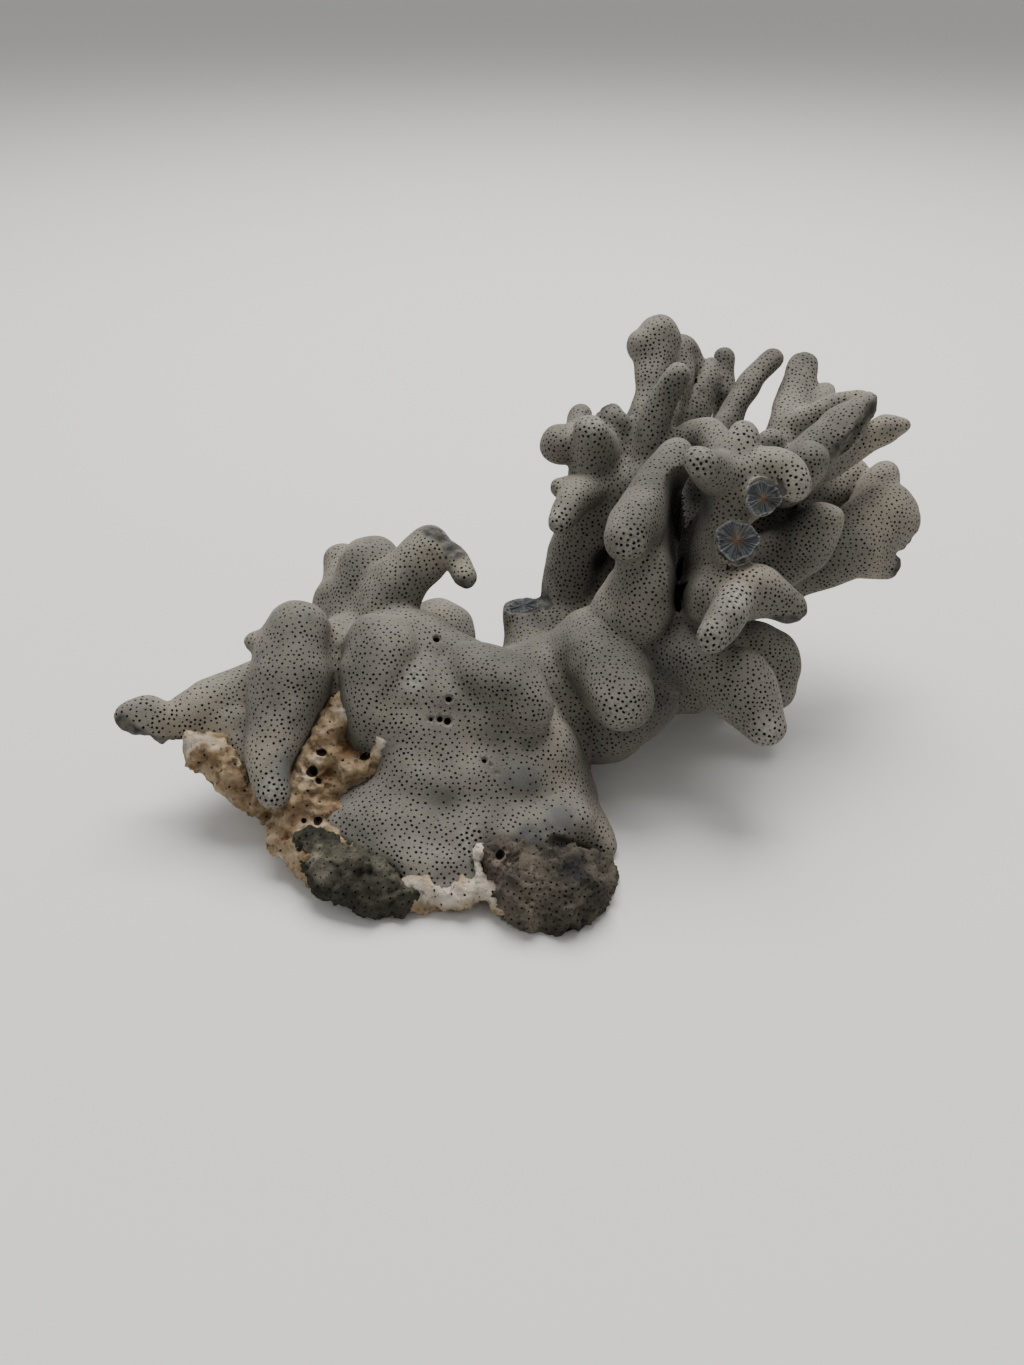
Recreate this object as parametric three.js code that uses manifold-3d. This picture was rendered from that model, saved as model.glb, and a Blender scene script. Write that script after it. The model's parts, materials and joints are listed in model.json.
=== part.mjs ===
// Blue coral grown over a piece of reef rock: rounded lobes and a crust at the left, a fan of blunt
// branches at the right that leans back. Millimetres, +Z up, origin on the flat sole that it stands on.
import * as THREE from "three";
import { MarchingCubes } from "three/addons/objects/MarchingCubes.js";
import { MeshoptSimplifier } from "three/addons/libs/meshopt_simplifier.module.js";
import { mergeVertices } from "three/addons/utils/BufferGeometryUtils.js";
import Module from "manifold-3d";

const wasm = await Module();
wasm.setup();
await MeshoptSimplifier.ready;

// Driving dimensions
const leanBackDeg = 36; // the colony's face leans back this far from upright
const drawnSpacing = 3; // grid spacing when a skin is drawn
const skinError = 0.58; // how far thinning may move a skin
const forkError = 2; // the same where pieces part
const splinterError = 0.08; // the same for the splinters left by a cut
const weld = 0.02; // points closer than this are one
const touching = 0.002; // pieces that share less than this, in mm3, are apart
const forkReach = 8; // how far past its limbs a piece looks for its share of the skin
const jointGap = 0.3; // clear gap between neighbouring pieces
const fillet = 2.1; // how softly one branch grows into the next
const rippleHeight = 0.45; // slow swell of the skin
const rippleLength = 6.5;
const relaxRounds = 6;

const lean = THREE.MathUtils.degToRad(leanBackDeg);
const towardBack = new THREE.Vector3(0, Math.cos(lean), -Math.sin(lean));
const upTheFace = new THREE.Vector3(0, Math.sin(lean), Math.cos(lean));

// A place on the colony: across to the right, up its leaning face, and depth into it.
function place(across, up, depth) {
  return new THREE.Vector3(across, 0, 0).addScaledVector(upTheFace, up).addScaledVector(towardBack, depth);
}

// The colony's pieces, outermost first, and the limbs that each is made of. A limb is a chain of
// [across, up, depth, radius]; thin is its thickness over its width.
const coralPieces = {
  hooked_horn: {
    horn: { chain: [[-36.5, 57, 5, 9.2], [-32, 65, 4, 7.8], [-23, 75, 2, 6.6]] },
    hook: { chain: [[-22, 74, 2, 4.6], [-16, 73, 0, 3.6], [-13, 67, -3, 3]] },
  },
  back_left_lobes: {
    rearLobe: { chain: [[-47, 56, 17, 11], [-47, 61, 18, 11], [-50, 74, 22, 5.5]] },
    roundLobe: { chain: [[-43, 56, 12, 10.5], [-41, 71, 14, 8.9]] },
  },
  left_wing: {
    wing: {
      thin: 0.55,
      chain: [
        [-101, 29, -13, 3.5], [-96, 29, -12, 5.4], [-91, 27, -10, 4.4], [-83, 29.5, -6, 7.6],
        [-74, 32.5, 0, 10.8], [-66, 34, 5, 11.5],
      ],
    },
  },
  left_column: {
    column: {
      chain: [
        [-57.5, 51, -8, 9.4], [-59, 39, -10, 10.8], [-61.5, 26, -14, 8.3], [-62.5, 16, -18.5, 5.2],
        [-61, 9.5, -21, 4],
      ],
    },
    columnNub: { chain: [[-66, 49, -8, 3], [-68.5, 49, -8, 2.4]] },
    columnBack: { chain: [[-58, 37, 2, 11], [-60, 36, 9, 10]] },
  },
  lower_right_finger: {
    longFinger: { chain: [[45, 45, -2, 9], [52, 43, -8, 8.6], [60, 36, -12, 8.6], [66, 26, -16, 5.4]] },
    fingerKnuckle: { chain: [[57, 40, -10, 7], [60, 42, -14, 5.2]] },
  },
  rear_foot: {
    rearBulge: { chain: [[53, 46, 17, 9.9], [61, 47, 18, 9.9], [74, 46, 16, 8.7], [76, 37, 16, 7]] },
    foot: { chain: [[50, 41, 32, 9.8], [68, 43, 46, 8.3]] },
  },
  front_fork: {
    forkArm: { chain: [[54, 61, -11, 8.8], [63, 61, -16, 7.3], [72, 58, -14, 4.5]] },
    forkFinger: { chain: [[57, 58, -20, 5.6], [50, 49, -28, 4.2]] },
  },
  middle_fork: {
    middleFinger: {
      chain: [
        [45, 99, -4, 5.2], [40, 89, -8, 6.4], [34, 79, -14, 6.5], [31, 76, -18, 5.4],
      ],
    },
    middleLobe: { chain: [[35, 73, -7, 7.6], [36.5, 65, -9, 8.6], [33, 57, -5, 9.2]] },
    middleStem: { chain: [[41, 87, -4, 6], [39, 74, -6, 7], [36, 67, -8, 8], [31, 58, -2, 9]] },
    shelf: {
      chain: [
        [34, 92, 12, 4], [36, 97, 10, 3.7], [46, 105, 10, 4.3], [54, 107, 4, 4.5], [57, 99, -4, 4.5],
      ],
    },
  },
  front_fan: {
    fanStem: { chain: [[50, 57, 0, 9.6], [51, 67, -6, 8.1], [54, 79, -12, 6.9], [57, 91, -14, 7.3]] },
    fanLeftKnob: { chain: [[55, 91, -16, 5.7], [47, 93, -26, 4.3]] },
    fanTopKnob: { chain: [[57, 94, -14, 5.8], [60, 102, -14, 4.2]] },
    fanDroop: { chain: [[61, 92, -14, 5.8], [69, 94, -16, 4.4], [73, 88, -18, 3.9]] },
    lowerSnag: { chain: [[56, 73, -10, 5.8], [57, 74, -22, 5.3]] },
    upperSnag: { chain: [[61, 85, -12, 5.3], [66, 86, -21, 4.8]] },
  },
  side_fan: {
    sideFinger: { chain: [[64, 67, 15, 10], [79, 76, 8, 8.5], [86, 82, 0, 5.8]] },
    plate: {
      thin: 0.75,
      chain: [
        [69, 67, 24, 9.6], [85, 73, 22, 9.3], [99, 79, 20, 10], [110, 87, 22, 10],
      ],
    },
    plateLobe: { chain: [[104, 75, 20, 6], [110, 72, 22, 4.4]] },
    plateTop: { chain: [[108, 90, 24, 7], [112, 99, 26, 4.8]] },
    rearNub: { chain: [[76, 82, 24, 8], [84, 88, 28, 6.5], [103, 101, 32, 5.5]] },
  },
  back_fingers: {
    backRoot: { chain: [[60, 97, 30, 8], [59, 103, 30, 7.5]] },
    backFinger: { chain: [[61, 104, 36, 5], [66, 120, 40, 3.6], [66, 130, 40, 3], [66.5, 140, 40, 3.4]] },
    slantFinger: { chain: [[58, 98, 24, 7], [61, 110, 23, 5], [69, 124, 24, 3.9], [78, 135, 26, 3.1]] },
    backSpike: {
      chain: [
        [54, 106, 32, 6.5], [55, 118, 33, 5.6], [59, 128, 34, 3.8], [61.5, 136, 35, 2],
      ],
    },
  },
  ridge_branch: {
    fin: {
      thin: 0.7,
      chain: [
        [77, 98, 18, 7.6], [80, 104, 20, 7.6], [83, 114, 22, 7.4], [85, 124, 26, 6],
        [88, 134, 28, 4.3],
      ],
    },
    finShoulder: { chain: [[86, 108, 24, 6], [91, 120, 27, 5.2], [95, 126, 30, 3.1]] },
    blade: { chain: [[74, 93, 9, 8], [80, 97, 6, 7.6], [92, 109, 4, 6.1], [99, 116, 4, 3.3]] },
    bladeRear: { chain: [[90, 100, 12, 5], [98, 105, 12, 4.4], [107, 111, 12, 4], [112, 112, 12, 2]] },
    bladeKnob: { chain: [[75, 92, 2, 6.1], [80, 97, -8, 5.4]] },
    bladeNub: { chain: [[70, 95, 6, 5], [72, 104, 4, 3.9]] },
  },
  knobbed_branch: {
    clubStem: {
      chain: [
        [41, 80, 23, 8.5], [39, 92, 20, 7], [37, 105, 16, 5.2], [39.5, 120, 18, 4.6],
        [42.5, 136, 20, 6], [43, 140, 20, 6],
      ],
    },
    clubHead: { chain: [[43, 134, 20, 5.6], [40, 137, 20, 5.4]] },
    clubRear: {
      chain: [
        [42, 106, 22, 5], [45, 112, 26, 5], [49.5, 129, 30, 4.2], [51, 139, 32, 5], [55, 136, 34, 3.6],
      ],
    },
    clubFinger: { chain: [[38, 100, 12, 5], [39, 105, 10, 4.6], [42, 116, 6, 4.2], [46, 123, 2, 3.3]] },
  },
  left_branch: {
    leftStem: {
      chain: [
        [15, 52, 22, 9], [15, 61, 24, 7.6], [20, 77, 22, 9], [25, 91, 18, 9], [25, 104, 14, 7.6],
      ],
    },
    leftFront: { chain: [[24, 103, 10, 6.8], [22, 108, 4, 5.3]] },
    leftSide: { chain: [[21, 108, 14, 5.2], [14, 106, 12, 5.4]] },
    leftRear: { chain: [[20, 110, 16, 4.5], [20, 116, 20, 3.5]] },
    leftSnag: { chain: [[27, 104, 16, 6], [31, 109, 18, 5]] },
    leftThumb: { chain: [[22, 93, 10, 5.1], [18, 90, 4, 4.7], [13, 82, 0, 3.3]] },
    leftKnuckle: { chain: [[17, 93, 8, 4], [13, 93, 6, 2.5]] },
  },
  lower_trunk: {
    neck: { chain: [[5, 34, 12, 15.5], [14, 36, 12, 16.6]] },
    stub: { chain: [[7, 45, 18, 9], [5, 50, 20, 7.5], [3, 57, 22, 5.2]] },
    trunk: { chain: [[25, 44, 6, 15.7], [31, 36, 8, 15.6], [25, 27, 9, 12.5]] },
    shortFinger: { chain: [[25, 44, -2, 10.9], [29, 34, -13, 9]] },
    fingerRoot: { chain: [[36, 44, 4, 11], [41, 45, 2, 10]] },
    underside: { chain: [[37, 36, 16, 9.9], [52, 36, 18, 7]] },
    footRoot: { chain: [[40, 42, 20, 11], [45, 40, 28, 10]] },
    web: { chain: [[22, 54, 25, 9], [31, 69, 34, 7.4]] },
    spine: { chain: [[33, 49, 16, 12.7], [46, 70, 30, 10.5], [60, 88, 30, 10], [73, 94, 20, 8]] },
  },
  main_mound: {
    saddle: { chain: [[-46, 47, 2, 10], [-46, 36, 4, 12]] },
    lobeRoot: { chain: [[-45, 47, 14, 11], [-43, 50, 9, 10]] },
    backBulge: { chain: [[-30, 42, 24, 12], [-22, 52, 28, 10.9]] },
    leftShoulder: { chain: [[-34, 45, -2, 12], [-31, 28, -2, 16.4]] },
    ridge: { chain: [[-31, 47, 0, 11.6], [-16, 41, 0, 11], [0, 35, -4, 8.1]] },
    mound: { chain: [[-21, 22, 2, 21.6], [-24, 6, -2, 18]] },
    neckRoot: { chain: [[-14, 32, 12, 15], [-4, 33, 12, 15]] },
    sheet: { chain: [[-38, 3, -11, 9], [-24, -4, -14, 10], [-11, -6, -14, 9.5]] },
    rim: {
      chain: [
        [-47, 3, -18, 2.6], [-38, -3, -22.5, 2.6], [-28, -8.5, -26, 2.5], [-19, -13.5, -28.5, 2.2],
        [-9, -11, -27, 2.4],
      ],
    },
    leftLobe: { chain: [[-35, 46, -8.5, 10.5], [-36, 37, -10.5, 9.5], [-34, 28, -9, 10]] },
    rightLobe: { chain: [[-10, 39.5, -9, 9.2], [-1, 37, -12.5, 9], [3, 32, -13, 7.6]] },
    dome: { chain: [[-33, 36, -5, 12], [-20, 33, -6, 12.4], [-3, 27, -5, 11.5]] },
    skirt: { chain: [[-26, 12, -10, 11.5], [-12, 10, -10, 11.5], [0, 12, -8, 11], [8, 18, -4, 11]] },
    apron: { chain: [[-35, 6, -15, 7.5], [-25, 0, -17, 8], [-13, -2, -18, 7.5], [-3, 1, -16, 8]] },
    apronFoot: {
      chain: [
        [-41, 3, -18, 4.6], [-31, -3, -22, 5], [-21, -8, -24.5, 5], [-12, -8, -23.5, 4.6],
      ],
    },
    skirtFoot: { chain: [[-3, -2, -17, 8], [6, -2, -15, 8], [14, 1, -11, 8]] },
    flank: { chain: [[2, 22, 0, 13.8], [13, 8, -2, 10.4], [20, -2, -8, 6]] },
    flankRim: { chain: [[20, 6, -4, 4.3], [25, -6, -12, 2.4]] },
  },
};

const oldKnobLimbs = {
  oldKnob: { chain: [[4, -14, -28, 7.5], [13, -14, -26, 9.5], [20, -13, -20, 5.6]] },
  oldKnobTop: { chain: [[4, -12, -24, 6], [2, -5, -18, 5.2]] },
  porousBlock: { chain: [[-3, -7, -26.5, 3.9], [-1, -12, -27, 4.2]] },
};

const ledgeLimbs = {
  ledge: {
    thin: 0.6,
    chain: [
      [-50, -2, -23, 4], [-42, -7, -27, 7], [-33, -11, -29, 6.2], [-27, -14.5, -29, 3.6],
    ],
  },
};

const rockLimbs = {
  rockCore: {
    chain: [
      [-52, 12, 4, 13], [-40, 9, 0, 14], [-23, 5, 8, 14], [0, 6, 6, 12], [10, 14, 16, 11],
    ],
  },
  rockFace: { chain: [[-45, 25, -2, 10], [-51, 13, -9, 9], [-55, 1, -16, 6]] },
  rockCheek: { chain: [[-41, 28, -4, 9.5], [-39, 20, -6, 8.5]] },
  rockFloor: { chain: [[-50, -3, -12, 6], [-30, -10, -15, 6], [-12, -12, -17, 6], [2, -12, -18, 6]] },
  rockLip: {
    chain: [
      [-59, -1, -17, 4], [-50, -8, -22, 4.5], [-40, -12, -25, 4], [-28, -16, -26, 3.4],
      [-14, -15.5, -27.5, 3.2], [-1, -15, -28, 3.4],
    ],
  },
  rockApron: { chain: [[-54, 4, -13, 7.5], [-42, -5, -16, 7], [-27, -11, -18, 6], [-12, -11, -18, 5.5]] },
  rockSpur: { chain: [[-80, 20, -6, 5.6], [-75, 15, -6, 5.6], [-66, 9, -6, 7], [-54, 8, -4, 10]] },
  wingRock: { chain: [[-83, 21, -10, 3.4], [-79, 18, -11.5, 4.4], [-74, 14, -12, 4]] },
  pocketBack: { chain: [[-42, 28, -8, 6.5], [-39, 20, -9, 7.5], [-44, 17, -10, 7]] },
};

// Scooped out of the coral and of the rock below it: the hollow between the column and the mound.
const coralHollow = { scoop: { chain: [[-40, 27, -18, 6.5], [-44, 18, -22, 6]] } };
const rockHollow = { pocket: { chain: [[-40, 24, -14, 5], [-44, 17, -19, 4]] } };

// A limb's centre line is a smooth curve; beads are points along it, each with its radius.
const beadSpacing = 3.5;
function beadsOf({ chain, thin = 1 }) {
  const curve = new THREE.CatmullRomCurve3(chain.map(([a, u, d]) => place(a, u, d)), false, "centripetal");
  const count = Math.max(2, Math.ceil(curve.getLength() / beadSpacing) + 1);
  const beads = [];
  for (let i = 0; i < count; i += 1) {
    const t = i / (count - 1);
    const along = t * (chain.length - 1);
    const lower = Math.min(Math.floor(along), chain.length - 2);
    const radius = THREE.MathUtils.lerp(chain[lower][3], chain[lower + 1][3], along - lower);
    beads.push({ centre: curve.getPoint(t), radius });
  }
  const box = new THREE.Box3().setFromPoints(beads.map((bead) => bead.centre));
  box.expandByScalar(Math.max(...chain.map((point) => point[3])));
  return { beads, thin, box };
}

// Distance from a point to the skin of one limb: a tapered capsule between each pair of beads.
const flatAxis = towardBack.clone();
const toPoint = new THREE.Vector3();
const segment = new THREE.Vector3();
const squashed = new THREE.Vector3();
function limbDistance({ beads, thin }, point) {
  let nearest = Infinity;
  for (let i = 1; i < beads.length; i += 1) {
    const start = beads[i - 1];
    segment.subVectors(beads[i].centre, start.centre);
    toPoint.subVectors(point, start.centre);
    const share = THREE.MathUtils.clamp(toPoint.dot(segment) / segment.lengthSq(), 0, 1);
    toPoint.addScaledVector(segment, -share);
    const radius = THREE.MathUtils.lerp(start.radius, beads[i].radius, share);
    const reach = toPoint.length();
    let distance = reach - radius;
    if (thin < 1 && reach > 0) {
      squashed.copy(toPoint).addScaledVector(flatAxis, toPoint.dot(flatAxis) * (1 / thin - 1));
      distance = reach * (1 - radius / squashed.length());
    }
    nearest = Math.min(nearest, distance);
  }
  return nearest;
}

// The skin of a group of limbs is where this is zero; it is negative inside.
function fieldOf(limbs) {
  const strands = Object.values(limbs).map(beadsOf);
  const farAway = 6 * fillet;
  return (point) => {
    let sum = 0;
    for (const strand of strands) {
      if (strand.box.distanceToPoint(point) > farAway) continue;
      sum += Math.exp(-limbDistance(strand, point) / fillet);
    }
    const ripple =
      Math.sin(point.x / rippleLength) *
      Math.sin(point.y / rippleLength + 1) *
      Math.sin(point.z / rippleLength + 2);
    return (sum > 0 ? -fillet * Math.log(sum) : farAway) + rippleHeight * ripple;
  };
}

// How far a point is outside a box; negative inside it.
function beyond(box, point) {
  return Math.max(
    box.min.x - point.x, point.x - box.max.x, box.min.y - point.y, point.y - box.max.y,
    box.min.z - point.z, point.z - box.max.z,
  );
}

function boxOf(limbs, margin) {
  const box = new THREE.Box3();
  Object.values(limbs).forEach((limb) => box.union(beadsOf(limb).box));
  return box.expandByScalar(margin);
}

// Draws the zero surface of a field inside a box as one closed geometry, evens its points out, and
// thins them where it is nearly flat.
function skinOf(field, box, error) {
  const cell = drawnSpacing;
  const size = box.getSize(new THREE.Vector3());
  const resolution = Math.ceil(Math.max(size.x, size.y, size.z) / cell) + 6;
  const halfSpan = (resolution * cell) / 2;
  const centre = box.getCenter(new THREE.Vector3());
  const cubes = new MarchingCubes(resolution, undefined, false, false, 60000);
  cubes.isolation = 0;
  const point = new THREE.Vector3();
  const clear = 0.16 * cell; // keeps the skin off the grid points, so that no facet is a splinter
  for (let k = 0; k < resolution; k += 1) {
    for (let j = 0; j < resolution; j += 1) {
      for (let i = 0; i < resolution; i += 1) {
        point.set(i, j, k).multiplyScalar(cell).addScalar(-halfSpan).add(centre);
        const value = beyond(box, point) > 2 * cell ? -cell : -field(point);
        cubes.field[i + resolution * (j + resolution * k)] =
          Math.abs(value) < clear ? Math.sign(value || 1) * clear : value;
      }
    }
  }
  cubes.update();
  const loose = new THREE.BufferGeometry();
  const corners = cubes.positionArray.slice(0, cubes.count * 3);
  loose.setAttribute("position", new THREE.BufferAttribute(corners, 3));
  loose.scale(halfSpan, halfSpan, halfSpan).translate(centre.x, centre.y, centre.z);
  const skin = mergeVertices(loose, weld);
  relax(skin, field);
  return thinned(skin, error);
}

// Takes out points until the surface would move by more than the error, in mm.
function thinned(geometry, error) {
  const points = Float32Array.from(geometry.getAttribute("position").array);
  const corners = Uint32Array.from(geometry.index.array);
  const [fewer] = MeshoptSimplifier.simplify(corners, points, 3, 3, error, ["ErrorAbsolute"]);
  const lean = new THREE.BufferGeometry();
  lean.setAttribute("position", new THREE.BufferAttribute(points, 3));
  lean.setIndex(new THREE.BufferAttribute(fewer, 1));
  return mergeVertices(lean.toNonIndexed(), weld);
}

function relax(skin, field) {
  const position = skin.getAttribute("position");
  const corners = skin.index.array;
  const neighbours = Array.from({ length: position.count }, () => new Set());
  for (let i = 0; i < corners.length; i += 3) {
    for (let j = 0; j < 3; j += 1) {
      neighbours[corners[i + j]].add(corners[i + ((j + 1) % 3)]);
      neighbours[corners[i + ((j + 1) % 3)]].add(corners[i + j]);
    }
  }
  const point = new THREE.Vector3();
  const other = new THREE.Vector3();
  const slope = new THREE.Vector3();
  const probe = 0.2;
  for (let round = 0; round < relaxRounds; round += 1) {
    const moved = new Float32Array(position.count * 3);
    for (let v = 0; v < position.count; v += 1) {
      point.set(0, 0, 0);
      for (const n of neighbours[v]) point.add(other.fromBufferAttribute(position, n));
      point.divideScalar(neighbours[v].size).lerp(other.fromBufferAttribute(position, v), 0.5);
      const height = field(point);
      ["x", "y", "z"].forEach((axis) => {
        other.copy(point)[axis] += probe;
        slope[axis] = (field(other) - height) / probe;
      });
      const steep = Math.max(slope.lengthSq(), 0.25);
      point.addScaledVector(slope, THREE.MathUtils.clamp(-height / steep, -1, 1)).toArray(moved, v * 3);
    }
    position.array.set(moved);
  }
}

// True where every edge has just two faces, so that no two sheets touch.
function isPlain(geometry) {
  const corners = geometry.index.array;
  const faces = new Map();
  for (let i = 0; i < corners.length; i += 1) {
    const next = corners[i - (i % 3) + ((i + 1) % 3)];
    const edge = `${Math.min(corners[i], next)} ${Math.max(corners[i], next)}`;
    faces.set(edge, (faces.get(edge) ?? 0) + 1);
  }
  return [...faces.values()].every((count) => count === 2);
}

function welded(geometry) {
  const bare = geometry.clone();
  bare.deleteAttribute("normal");
  bare.deleteAttribute("uv");
  return mergeVertices(bare, 1e-3);
}

function solidOf(geometry) {
  const merged = welded(geometry);
  return new wasm.Manifold(
    new wasm.Mesh({
      numProp: 3,
      vertProperties: Float32Array.from(merged.getAttribute("position").array),
      triVerts: Uint32Array.from(merged.index.array),
    }),
  );
}

function geometryOf(solid) {
  const mesh = solid.getMesh();
  const geometry = new THREE.BufferGeometry();
  geometry.setAttribute("position", new THREE.BufferAttribute(Float32Array.from(mesh.vertProperties), 3));
  geometry.setIndex(new THREE.BufferAttribute(Uint32Array.from(mesh.triVerts), 1));
  geometry.computeVertexNormals();
  return geometry;
}

// The same skin a little further out, for cutting a clear gap around a piece.
function swollen(skin, by) {
  const outer = skin.clone();
  outer.computeVertexNormals();
  const position = outer.getAttribute("position");
  const point = new THREE.Vector3();
  const normal = new THREE.Vector3();
  for (let v = 0; v < position.count; v += 1) {
    normal.fromBufferAttribute(outer.getAttribute("normal"), v);
    point.fromBufferAttribute(position, v).addScaledVector(normal, by);
    position.setXYZ(v, point.x, point.y, point.z);
  }
  return solidOf(outer);
}

const largest = (solid) => solid.decompose().sort((a, b) => b.volume() - a.volume())[0];
const underFloor = solidOf(new THREE.BoxGeometry(600, 600, 100).translate(0, 0, -50));
const shellGap = 1.5 * jointGap; // allows for corners, where a skin swells less

// The old knob, the ledge and the rock: each is cut away where an earlier one stands.
const plainSkin = (limbs) => skinOf(fieldOf(limbs), boxOf(limbs, drawnSpacing), skinError);
const knobSkin = plainSkin(oldKnobLimbs);
const ledgeSkin = plainSkin(ledgeLimbs);
const rockSkin = plainSkin(rockLimbs);
const colonySkin = plainSkin(Object.assign({}, ...Object.values(coralPieces)));
const shells = [knobSkin, ledgeSkin, rockSkin].map((skin) => swollen(skin, shellGap));
const knob = solidOf(knobSkin).subtract(underFloor);
const ledge = solidOf(ledgeSkin).subtract(shells[0]).subtract(underFloor);
const rock = [shells[0], shells[1], underFloor, solidOf(plainSkin(rockHollow))].reduce(
  (rest, cutter) => rest.subtract(cutter),
  solidOf(rockSkin),
);
let colony = [...shells, underFloor, solidOf(plainSkin(coralHollow))].reduce(
  (rest, cutter) => rest.subtract(cutter),
  solidOf(colonySkin),
);

// The colony parts at its forks: a piece takes whatever lies nearer to its limbs than to any limb of
// the pieces after it.
const solids = { reef_rock: largest(rock), old_coral_knob: largest(knob), old_crust_ledge: largest(ledge) };
const names = Object.keys(coralPieces);
for (const [turn, name] of names.entries()) {
  if (turn === names.length - 1) {
    solids[name] = largest(colony);
    break;
  }
  const own = Object.values(coralPieces[name]).map(beadsOf);
  const later = names.slice(turn + 1).flatMap((other) => Object.values(coralPieces[other]).map(beadsOf));
  const nearest = (strands, point) => Math.min(...strands.map((strand) => limbDistance(strand, point)));
  const box = boxOf(coralPieces[name], forkReach);
  const share = skinOf(
    (point) => Math.max(beyond(box, point), nearest(own, point) - nearest(later, point)),
    box.clone().expandByScalar(drawnSpacing),
    forkError,
  );
  solids[name] = largest(colony.intersect(solidOf(share)));
  colony = colony.subtract(swollen(share, shellGap)).subtract(solidOf(share));
}

// Clears the splinters that cutting leaves, as far as the piece stays plain and clear of the others.
for (const name of Object.keys(solids)) {
  const others = Object.keys(solids).filter((other) => other !== name);
  for (let error = splinterError; error > 0.01; error /= 1.5) {
    const lean = solidOf(thinned(geometryOf(solids[name]), error));
    const apart = others.every((other) => lean.intersect(solids[other]).volume() < touching);
    if (apart && isPlain(welded(geometryOf(lean)))) {
      solids[name] = lean;
      break;
    }
  }
}

const coralGrey = new THREE.Color(0x8f8d89);
const shades = {
  reef_rock: [0xb39a76, 0.95],
  old_coral_knob: [0x57504a, 0.95],
  old_crust_ledge: [0x5d584c, 0.95],
};
const group = new THREE.Group();
for (const [name, solid] of Object.entries(solids)) {
  const [color, roughness] = shades[name] ?? [coralGrey, 0.88];
  const material = new THREE.MeshStandardMaterial({ color, roughness, metalness: 0 });
  const mesh = new THREE.Mesh(geometryOf(solid), material);
  mesh.name = name;
  group.add(mesh);
}

export default group;
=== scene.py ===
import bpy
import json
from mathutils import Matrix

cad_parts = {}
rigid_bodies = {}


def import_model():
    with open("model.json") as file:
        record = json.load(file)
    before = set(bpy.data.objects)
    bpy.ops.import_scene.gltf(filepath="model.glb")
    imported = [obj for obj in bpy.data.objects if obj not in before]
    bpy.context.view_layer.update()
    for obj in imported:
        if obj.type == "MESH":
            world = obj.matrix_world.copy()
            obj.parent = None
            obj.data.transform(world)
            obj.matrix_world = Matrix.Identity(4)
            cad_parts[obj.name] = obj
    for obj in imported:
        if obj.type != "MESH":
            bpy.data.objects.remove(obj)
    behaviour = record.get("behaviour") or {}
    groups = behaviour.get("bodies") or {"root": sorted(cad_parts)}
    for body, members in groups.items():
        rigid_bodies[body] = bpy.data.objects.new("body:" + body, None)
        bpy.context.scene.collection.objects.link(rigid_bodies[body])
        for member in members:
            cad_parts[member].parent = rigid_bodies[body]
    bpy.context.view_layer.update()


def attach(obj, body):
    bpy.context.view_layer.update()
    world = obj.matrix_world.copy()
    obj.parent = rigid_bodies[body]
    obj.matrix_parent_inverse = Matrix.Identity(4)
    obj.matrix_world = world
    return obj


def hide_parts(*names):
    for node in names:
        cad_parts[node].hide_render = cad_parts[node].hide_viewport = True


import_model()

import json
import math
import bmesh
import bpy
import numpy as np
from mathutils import Matrix, Vector, kdtree

# The colony's face leans back; its limbs are given on that face, in mm:
# across to the right, up the face, depth into it, and the radius there.
face = {
    "leanBack": math.radians(36),
    "beadShare": 0.3,  # spacing of the beads along a limb, in radii
    "voxel": 0.00078,
    "softening": 9,  # rounds of smoothing where limbs meet
    "fatten": 0.00032,  # makes up for what the smoothing takes away
}
towardBack = Vector((0, math.cos(face["leanBack"]), -math.sin(face["leanBack"])))
upFace = Vector((0, math.sin(face["leanBack"]), math.cos(face["leanBack"])))


def place(across, up, depth):
    return (Vector((across, 0, 0)) + upFace * up + towardBack * depth) / 1000


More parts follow.
